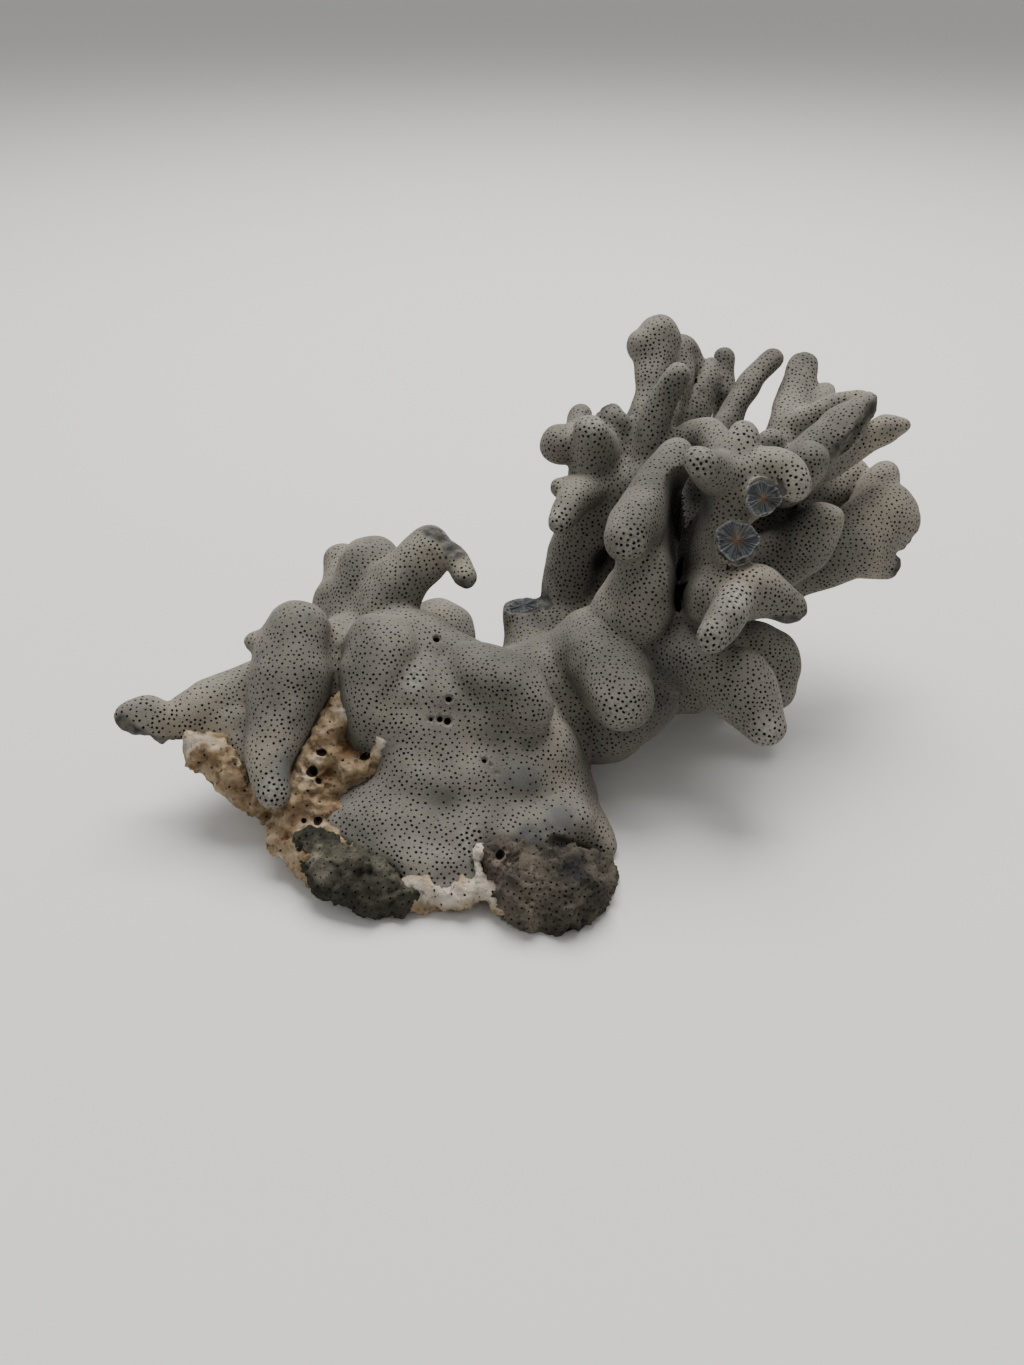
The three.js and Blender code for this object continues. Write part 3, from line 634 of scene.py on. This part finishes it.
# Fibres across the two snapped snags and the stub: a thin lobed plug on each flat
plugs = {
    "lowerSnag": {"node": "front_fan", "middle": (57, 74, -23), "facing": (0.1, 0.05, -1), "radius": 5.6,
                  "flat": 0.9, "rust": 1},
    "upperSnag": {"node": "front_fan", "middle": (63.8, 84.8, -22), "facing": (0.3, 0.05, -1),
                  "radius": 5.1, "flat": 0.85, "rust": 1},
    "stubTop": {"node": "lower_trunk", "middle": (3.3, 60.6, 20.8), "facing": (-0.1, 0.88, -0.47),
                "radius": 5, "flat": 0.9, "rust": 0},
}
plug = {"around": 72, "rings": 7, "thickness": 0.0003, "taper": 0.97, "furrow": 0.00035,
        "furrowFade": 1.6, "dish": 0.0009, "threeLobes": 0.07, "sevenLobes": 0.05}


def snappedPlug(name, kind, seed):
    bm = bmesh.new()
    radius = kind["radius"] / 1000
    bmesh.ops.create_cone(bm, cap_ends=True, segments=plug["around"], radius1=radius,
                          radius2=radius * plug["taper"], depth=plug["thickness"] * 2)
    top = [f for f in bm.faces if f.normal.z > 0.9]
    ring = radius / (plug["rings"] + 1)
    for k in range(plug["rings"]):
        bmesh.ops.inset_region(bm, faces=top, thickness=ring, use_even_offset=True)
    bmesh.ops.poke(bm, faces=top)
    dice = np.random.default_rng(seed)
    furrows = dice.uniform(-1, 1, plug["around"])
    facing = Vector(place(*kind["facing"])).normalized()
    turn = facing.to_track_quat("Z", "Y").to_matrix().to_4x4()
    at = bm.verts.layers.float_vector.new("across")
    keepOn(bm, "rust", np.full(len(bm.verts), kind["rust"]))
    for v in bm.verts:
        angle = math.atan2(v.co.y, v.co.x)
        out = math.hypot(v.co.x, v.co.y) / radius
        lobes = (1 + plug["threeLobes"] * math.sin(3 * angle + seed)
                 + plug["sevenLobes"] * math.sin(7 * angle + 2 * seed))
        v[at] = (math.cos(angle) * out, math.sin(angle) * out, seed)
        v.co.x *= lobes
        v.co.y *= lobes * kind["flat"]
        if v.co.z > 0:
            furrow = furrows[int(angle / math.tau * plug["around"]) % plug["around"]]
            v.co.z += plug["furrow"] * furrow * min(out * plug["furrowFade"], 1)
            v.co.z -= plug["dish"] * (1 - out) * out
    bmesh.ops.transform(bm, matrix=Matrix.Translation(place(*kind["middle"])) @ turn, verts=bm.verts)
    bmesh.ops.triangulate(bm, faces=bm.faces)
    mesh = bpy.data.meshes.new(name)
    bm.to_mesh(mesh)
    bm.free()
    return finished(mesh, name + "Face", kind["node"])


plugObjs = [snappedPlug(name, kind, 1 + k) for k, (name, kind) in enumerate(plugs.items())]
print("snapped faces made")

# The reef rock under the colony, the old dead knob and the old crusted ledge
roughKinds = {
    "reef_rock": {
        "slot": "reef_rock", "voxel": 0.00085, "rounds": 3,
        "swells": ((0.001, 0.008), (0.0011, 0.0038), (0.0008, 0.0019)),
        "pores": {"spacing": 0.0034, "radius": 0.0005, "depth": 0.0012},
        "limbs": {
            "rockCore": [(-52, 12, 4, 13), (-40, 9, 0, 14), (-23, 5, 8, 14), (0, 6, 6, 12),
                         (10, 14, 16, 11)],
            "rockFace": [(-45, 25, -2, 10), (-51, 13, -9, 9), (-55, 1, -16, 6)],
            "rockCheek": [(-41, 28, -4, 9.5), (-39, 20, -6, 8.5)],
            "rockFloor": [(-50, -3, -12, 6), (-30, -10, -15, 6), (-12, -12, -17, 6), (2, -12, -18, 6)],
            "rockLip": [(-59, -1, -17, 4), (-50, -8, -22, 4.5), (-40, -12, -25, 4), (-28, -16, -26, 3.2),
                        (-18, -15.5, -26.5, 2.8)],
            "whiteRim": [(-25, -13, -27, 2.6), (-16, -14.5, -28.5, 2.5), (-7, -13, -28, 2.6),
                         (-1, -15, -28, 2.7)],
            "blockRim": [(-7.6, -4, -27, 0.9), (-7.6, -10, -28.5, 1.1), (-3, -15.5, -29, 1.8),
                         (2, -19, -27.5, 1.6)],
            "rockApron": [(-54, 4, -13, 7.5), (-42, -5, -16, 7), (-27, -11, -18, 6), (-12, -11, -18, 5.5)],
            "rockSpur": [(-80, 20, -6, 5.6), (-75, 15, -6, 5.6), (-66, 9, -6, 7), (-54, 8, -4, 10)],
            "wingRock": [(-84, 22, -10, 2.6), (-80, 19, -11.5, 4.4), (-74, 14, -12, 4)],
            "pocketRim": [(-40, 32, -13, 1.2), (-36.5, 29, -14.8, 1.4), (-34, 24, -15.9, 1.4),
                          (-34.5, 20, -16.2, 1.2)],
            "pocketBack": [(-42, 28, -8, 6.5), (-39, 20, -9, 7.5), (-44, 17, -10, 7)],
        },
        "hollows": [([(-41, 23, -17)], 7.5, 9), ([(-48, 14, -16)], 5, 3), ([(-55, 3, -20)], 4, 2),
                    ([(-70, 14, -12)], 4, 2)],
        "holes": [(-54.1, 23.3, -19, 2), (-49.5, 19.6, -15.6, 2), (-54, 18, -19, 2),
                  (-51.4, 14.8, -17.7, 2.4), (-49.6, 12.8, -18, 1.8), (-38.5, 19, -14.2, 2.4),
                  (-53, 2.4, -20, 1.6), (-49.5, 2.6, -21, 1.8), (-46, 3, -21.5, 1.6),
                  (-72, 17, -15, 1.5), (-70, 13, -14, 1.4)],
        "pale": [[(-25, -13, -29), (-16, -15, -30), (-7, -13, -30), (-1, -16, -30), (2, -19, -28)],
                 [(-8, -4, -28), (-8, -10, -30)],
                 [(-42.5, 31, -14), (-38, 28.5, -18), (-34.5, 23, -19)],
                 [(-84, 22, -12), (-80, 21, -14)]],
    },
    "old_coral_knob": {
        "slot": "old_coral", "voxel": 0.00065, "rounds": 3,
        "swells": ((0.0016, 0.009), (0.0013, 0.0035), (0.0006, 0.0014)),
        "pores": {"spacing": 0.0014, "radius": 0.00042, "depth": 0.0009},
        "limbs": {
            "oldKnob": [(4, -14, -28, 7.5), (13, -14, -26, 9.5), (20, -13, -20, 5.6)],
            "oldKnobTop": [(4, -12, -24, 6), (2, -5, -18, 5.2)],
            "porousBlock": [(-3, -7, -26.5, 3.9), (-1, -12, -27, 4.2)],
        },
        "hollows": [([(9, -6, -30)], 3, 2)],
        "holes": [(-3, -5, -30, 1.4), (0, -8, -31, 1.2), (-4, -9, -31, 1.2)],
        "pale": [[(-3, -6, -30), (-2, -11, -31)]],
    },
    "old_crust_ledge": {
        "slot": "old_crust", "voxel": 0.00065, "rounds": 3,
        "swells": ((0.0014, 0.006), (0.0009, 0.0025), (0.0004, 0.0012)),
        "pores": {"spacing": 0.0017, "radius": 0.0004, "depth": 0.0008},
        "limbs": {
            "ledge": [(-50, -3, -23.4, 4), (-43, -9, -26.4, 6.6), (-34, -13, -28.6, 6),
                      (-27.5, -15, -29.2, 3.4)],
        },
        "hollows": [([(-36, -10, -31)], 5, 1.5)],
        "holes": [],
        "pale": [[(-50, -3, -28), (-46, -9, -30)]],
    },
}


rockWear = {"holeDepth": 0.003, "finerAround": 0.8, "paleReach": 5, "poreFloor": 0.001}


def roughPiece(node, kind):
    # a skin over the limbs with hollows, holes, rugged swells and small pores
    bm = skinOver(kind["limbs"], kind["voxel"], kind["rounds"], 0)
    refined(bm, kind["holes"], rockWear["finerAround"])
    spots = spotsOf(bm)
    sunk = np.zeros(len(spots))
    for line, reach, depth in kind["hollows"]:
        sunk = np.maximum(sunk, sunkBack(spots, line, reach, depth))
    holes = markedSpots(spots, kind["holes"])
    facing = facingsOf(bm)
    spots -= facing * (holes * rockWear["holeDepth"])[:, None]
    for number, (height, size) in enumerate(kind["swells"]):
        rugged = 1 - 2 * np.abs(lumps(spots, size, 20 + number))
        spots += facing * (height * rugged)[:, None]
    putBack(bm, spots)
    # the holes get the pit value, which takes painted shade in the material
    keepOn(bm, "pit", np.clip(holes * 3 - 0.6, 0, 1))
    keepOn(bm, "sunk", sunk)
    keepOn(bm, "pale", marked(spots, [(line, rockWear["paleReach"]) for line in kind["pale"]]))
    bore = kind["pores"]
    allowed = (spots[:, 2] > rockWear["poreFloor"]) & (holes < 0.1)
    picked = spread(spots, allowed, np.full(len(spots), bore["spacing"]), 31)
    sinkPores(bm, [(picked, bore["radius"], bore["depth"])])
    mesh = bpy.data.meshes.new(node)
    bm.to_mesh(mesh)
    bm.free()
    keepFacing(mesh)
    print(node, len(mesh.polygons), "faces")
    return finished(mesh, node.title().replace("_", ""), node)


roughObjs = {node: roughPiece(node, kind) for node, kind in roughKinds.items()}


# Materials, all on Object coordinates or on what was kept on the meshes
def newMaterial(name):
    made = bpy.data.materials.new(name)
    made.use_nodes = True
    return made, made.node_tree.nodes, made.node_tree.links


def rampOf(nodes, links, source, stops):
    ramp = nodes.new("ShaderNodeValToRGB")
    elements = ramp.color_ramp.elements
    while len(elements) < len(stops):
        elements.new(0.5)
    for element, (at, colour) in zip(elements, stops):
        element.position = at
        element.color = (*colour, 1)
    links.new(source, ramp.inputs["Fac"])
    return ramp.outputs["Color"]


def noiseOf(nodes, links, scale, detail=4):
    where = nodes.new("ShaderNodeTexCoord")
    noise = nodes.new("ShaderNodeTexNoise")
    noise.inputs["Scale"].default_value = scale
    noise.inputs["Detail"].default_value = detail
    links.new(where.outputs["Object"], noise.inputs["Vector"])
    return noise.outputs["Fac"]


def keptOf(nodes, name):
    kept = nodes.new("ShaderNodeAttribute")
    kept.attribute_name = name
    return kept.outputs["Fac"]


def ranged(nodes, links, source, low, high, top=1.0):
    span = nodes.new("ShaderNodeMapRange")
    span.inputs["From Min"].default_value = low
    span.inputs["From Max"].default_value = high
    span.inputs["To Max"].default_value = top
    links.new(source, span.inputs["Value"])
    return span.outputs["Result"]


def times(nodes, links, a, b):
    product = nodes.new("ShaderNodeMath")
    product.operation = "MULTIPLY"
    links.new(a, product.inputs[0])
    links.new(b, product.inputs[1])
    return product.outputs["Value"]


def mixed(nodes, links, share, under, over):
    mix = nodes.new("ShaderNodeMix")
    mix.data_type = "RGBA"
    links.new(share, mix.inputs["Factor"])
    links.new(under, mix.inputs["A"])
    if isinstance(over, tuple):
        mix.inputs["B"].default_value = (*over, 1)
    else:
        links.new(over, mix.inputs["B"])
    return mix.outputs["Result"]


def specksOf(nodes, links, scale):
    # 1 in the middle of each small cell, 0 further out
    where = nodes.new("ShaderNodeTexCoord")
    cells = nodes.new("ShaderNodeTexVoronoi")
    cells.inputs["Scale"].default_value = scale
    links.new(where.outputs["Object"], cells.inputs["Vector"])
    return ranged(nodes, links, cells.outputs["Distance"], 0.42, 0.18)


def bumped(nodes, links, source, strength, distance):
    bump = nodes.new("ShaderNodeBump")
    bump.inputs["Strength"].default_value = strength
    bump.inputs["Distance"].default_value = distance
    links.new(source, bump.inputs["Height"])
    return bump.outputs["Normal"]


# Among these, the pore, recess and tiny-speck colours are painted shade, and the rim colour is a painted
# highlight
coralLook = {
    "patches": ((0.34, (0.1, 0.095, 0.084)), (0.5, (0.166, 0.154, 0.131)), (0.66, (0.25, 0.225, 0.181))),
    "bluish": (0.08, 0.086, 0.09), "worn": (0.22, 0.202, 0.172), "bleach": (0.42, 0.4, 0.37),
    "brokenDark": (0.028, 0.03, 0.032), "brokenPale": (0.13, 0.12, 0.1), "pit": (0.003, 0.0026, 0.0022),
    "deep": (0.012, 0.011, 0.01), "rim": (0.26, 0.245, 0.22), "tiny": (0.03, 0.028, 0.024),
}


def pittedCoral():
    # grey in patches, bluish where bruised, chalky at the ends, with painted shade in the pores and
    # recesses and a painted highlight on the pore rims
    made, nodes, links = newMaterial("pittedCoral")
    shader = nodes["Principled BSDF"]
    shader.inputs["Roughness"].default_value = 0.78
    shader.inputs["Specular IOR Level"].default_value = 0.22
    colour = rampOf(nodes, links, noiseOf(nodes, links, 32, 5), coralLook["patches"])
    bluePatch = ranged(nodes, links, noiseOf(nodes, links, 17, 3), 0.5, 0.72, 0.55)
    colour = mixed(nodes, links, bluePatch, colour, coralLook["bluish"])
    bruise = times(nodes, links, ranged(nodes, links, keptOf(nodes, "bruise"), 0.0, 0.7, 0.75),
                   ranged(nodes, links, noiseOf(nodes, links, 130, 5), 0.38, 0.6))
    colour = mixed(nodes, links, bruise, colour, coralLook["bluish"])
    wornShare = times(nodes, links, ranged(nodes, links, noiseOf(nodes, links, 260, 5), 0.35, 0.62),
                      ranged(nodes, links, keptOf(nodes, "worn"), 0.05, 0.6, 0.8))
    colour = mixed(nodes, links, wornShare, colour, coralLook["worn"])
    growing = keptOf(nodes, "pale")
    flecks = ranged(nodes, links, noiseOf(nodes, links, 1100, 2), 0.32, 0.6)
    chalk = times(nodes, links, flecks, ranged(nodes, links, growing, 0.1, 1.0, 0.45))
    colour = mixed(nodes, links, chalk, colour, coralLook["bleach"])
    grain = rampOf(nodes, links, noiseOf(nodes, links, 420, 3), ((0.35, coralLook["brokenDark"]),
                                                                 (0.7, coralLook["brokenPale"])))
    colour = mixed(nodes, links, ranged(nodes, links, keptOf(nodes, "broken"), 0.15, 0.6), colour, grain)
    # painted shade, nearly black, in the deep gap and the darkest recesses
    colour = mixed(nodes, links, ranged(nodes, links, keptOf(nodes, "deep"), 0.05, 0.9, 0.92), colour,
                   coralLook["deep"])
    # tiny dark specks: painted shade of pores too small to model
    tinyPores = specksOf(nodes, links, 2300)
    patchy = ranged(nodes, links, noiseOf(nodes, links, 240, 3), 0.36, 0.62, 0.62)
    colour = mixed(nodes, links, times(nodes, links, tinyPores, patchy), colour, coralLook["tiny"])
    pit = keptOf(nodes, "pit")
    # a painted highlight at the top of each pore wall, in place of a raised rim
    colour = mixed(nodes, links, ranged(nodes, links, pit, 0.0, 0.04, 0.45), colour, coralLook["rim"])
    # painted shade, nearly black, inside the pores and borings
    colour = mixed(nodes, links, ranged(nodes, links, pit, 0.07, 0.18), colour, coralLook["pit"])
    links.new(colour, shader.inputs["Base Color"])
    links.new(bumped(nodes, links, noiseOf(nodes, links, 700, 3), 0.35, 0.00025), shader.inputs["Normal"])
    return made


def crumbled(name, stops, scale, pale, sunkColour, pitColour):
    # rough stone or dead crust, speckled, with painted shade where it is sunk and in its holes
    made, nodes, links = newMaterial(name)
    shader = nodes["Principled BSDF"]
    shader.inputs["Roughness"].default_value = 0.9
    shader.inputs["Specular IOR Level"].default_value = 0.15
    colour = rampOf(nodes, links, noiseOf(nodes, links, scale, 7), stops)
    colour = mixed(nodes, links, ranged(nodes, links, keptOf(nodes, "pale"), 0.1, 0.7, 0.85), colour, pale)
    # painted shade in the hollows; on the reef rock this also carries the pocket's ochre stain
    sunk = ranged(nodes, links, keptOf(nodes, "sunk"), 0.1, 0.8, 0.8)
    colour = mixed(nodes, links, sunk, colour, sunkColour)
    speckle = ranged(nodes, links, noiseOf(nodes, links, 650, 3), 0.56, 0.7, 0.6)
    colour = mixed(nodes, links, speckle, colour, pitColour)
    # painted shade, nearly black, in the holes
    colour = mixed(nodes, links, ranged(nodes, links, keptOf(nodes, "pit"), 0.15, 0.4), colour, pitColour)
    links.new(colour, shader.inputs["Base Color"])
    links.new(bumped(nodes, links, noiseOf(nodes, links, 420, 8), 0.9, 0.0012), shader.inputs["Normal"])
    return made


fibreLook = {
    "fibres": ((0.3, (0.008, 0.01, 0.014)), (0.5, (0.026, 0.031, 0.037)), (0.72, (0.12, 0.128, 0.132))),
    "rust": (0.11, 0.055, 0.018), "rim": (0.2, 0.2, 0.195),
}


def snappedFibres():
    # blue-grey fibres running out from a rusty middle to a chalky rim
    made, nodes, links = newMaterial("snappedFibres")
    shader = nodes["Principled BSDF"]
    shader.inputs["Roughness"].default_value = 0.7
    where = nodes.new("ShaderNodeAttribute")
    where.attribute_name = "across"
    apart = nodes.new("ShaderNodeSeparateXYZ")
    links.new(where.outputs["Vector"], apart.inputs["Vector"])
    angle = nodes.new("ShaderNodeMath")
    angle.operation = "ARCTAN2"
    links.new(apart.outputs["Y"], angle.inputs[0])
    links.new(apart.outputs["X"], angle.inputs[1])
    out = nodes.new("ShaderNodeVectorMath")
    out.operation = "LENGTH"
    flatten = nodes.new("ShaderNodeCombineXYZ")
    links.new(apart.outputs["X"], flatten.inputs["X"])
    links.new(apart.outputs["Y"], flatten.inputs["Y"])
    links.new(flatten.outputs["Vector"], out.inputs[0])
    aroundIt = nodes.new("ShaderNodeCombineXYZ")
    links.new(angle.outputs["Value"], aroundIt.inputs["X"])
    links.new(apart.outputs["Z"], aroundIt.inputs["Y"])
    fibres = nodes.new("ShaderNodeTexNoise")
    fibres.inputs["Scale"].default_value = 11
    fibres.inputs["Detail"].default_value = 5
    links.new(aroundIt.outputs["Vector"], fibres.inputs["Vector"])
    colour = rampOf(nodes, links, fibres.outputs["Fac"], fibreLook["fibres"])
    middle = ranged(nodes, links, out.outputs["Value"], 0.45, 0.08, 0.75)
    rusty = times(nodes, links, middle, keptOf(nodes, "rust"))
    colour = mixed(nodes, links, rusty, colour, fibreLook["rust"])
    chalk = ranged(nodes, links, out.outputs["Value"], 0.86, 1.0, 0.75)
    colour = mixed(nodes, links, chalk, colour, fibreLook["rim"])
    links.new(colour, shader.inputs["Base Color"])
    return made


coralMat = pittedCoral()
for obj in coralObjs:
    obj.data.materials.append(coralMat)
fibreMat = snappedFibres()
for obj in plugObjs:
    obj.data.materials.append(fibreMat)
# sunkColour is painted shade for the hollows, ochre-stained on the reef rock; pitColour is painted shade in
# the holes and also the speckle tone
roughLooks = {
    "reef_rock": {
        "name": "reefRock", "scale": 190, "pale": (0.52, 0.47, 0.4), "sunkColour": (0.085, 0.038, 0.011),
        "pitColour": (0.012, 0.009, 0.006),
        "stops": ((0.3, (0.08, 0.046, 0.022)), (0.45, (0.21, 0.148, 0.086)), (0.6, (0.34, 0.26, 0.17)),
                  (0.75, (0.48, 0.41, 0.31))),
    },
    "old_coral_knob": {
        "name": "oldCoral", "scale": 95, "pale": (0.16, 0.125, 0.105), "sunkColour": (0.02, 0.018, 0.015),
        "pitColour": (0.006, 0.006, 0.006),
        "stops": ((0.32, (0.022, 0.021, 0.02)), (0.52, (0.066, 0.057, 0.045)), (0.7, (0.14, 0.122, 0.095))),
    },
    "old_crust_ledge": {
        "name": "oldCrust", "scale": 110, "pale": (0.17, 0.155, 0.12), "sunkColour": (0.03, 0.028, 0.02),
        "pitColour": (0.006, 0.006, 0.006),
        "stops": ((0.32, (0.018, 0.018, 0.015)), (0.55, (0.045, 0.043, 0.032)), (0.72, (0.1, 0.093, 0.07))),
    },
}
for node, obj in roughObjs.items():
    obj.data.materials.append(crumbled(**roughLooks[node]))

# A pale card under it, big enough to fill the view
cardLook = {"size": 12, "middle": (0, 4, 0), "colour": (0.72, 0.715, 0.7, 1), "roughness": 0.75}
card = bmesh.new()
bmesh.ops.create_grid(card, x_segments=1, y_segments=1, size=cardLook["size"],
                      matrix=Matrix.Translation(cardLook["middle"]))
cardMesh = bpy.data.meshes.new("paleCard")
card.to_mesh(cardMesh)
card.free()
floor = bpy.data.objects.new("paleCard", cardMesh)
bpy.context.collection.objects.link(floor)
cardMat, nodes, links = newMaterial("paleCard")
nodes["Principled BSDF"].inputs["Base Color"].default_value = cardLook["colour"]
nodes["Principled BSDF"].inputs["Roughness"].default_value = cardLook["roughness"]
cardMesh.materials.append(cardMat)

# One big lamp high up behind, a weak one from the left, and an even pale room
aim = Vector((0.01, 0.03, 0.04))
lamps = {
    "overhead": {"at": (0.06, 0.5, 1.1), "size": 0.8, "power": 23.0, "colour": (1, 0.985, 0.96)},
    "window": {"at": (-0.9, -0.1, 0.75), "size": 0.8, "power": 1.2, "colour": (0.95, 0.98, 1)},
}
for name, lamp in lamps.items():
    light = bpy.data.lights.new(name, "AREA")
    light.size = lamp["size"]
    light.energy = lamp["power"]
    light.color = lamp["colour"]
    obj = bpy.data.objects.new(name, light)
    obj.location = lamp["at"]
    obj.rotation_euler = (aim - Vector(lamp["at"])).to_track_quat("-Z", "Y").to_euler()
    bpy.context.collection.objects.link(obj)
room = bpy.data.worlds.new("room")
room.use_nodes = True
room.node_tree.nodes["Background"].inputs["Color"].default_value = (1, 0.995, 0.98, 1)
room.node_tree.nodes["Background"].inputs["Strength"].default_value = 0.44
bpy.context.scene.world = room

# The photo's own angle: place in metres, tilt in degrees, focal length and height in pixels
view = {"at": (0, -0.2115, 0.2006), "tilt": 54, "focal": 1050, "tall": 1365}
lens = bpy.data.cameras.new("lens")
lens.sensor_fit = "VERTICAL"
lens.sensor_height = 36
lens.lens = view["focal"] / view["tall"] * lens.sensor_height
lens.clip_start = 0.01
camera = bpy.data.objects.new("camera", lens)
camera.location = view["at"]
camera.rotation_euler = (math.radians(view["tilt"]), 0, 0)
bpy.context.collection.objects.link(camera)
bpy.context.scene.camera = camera
print("stage set")
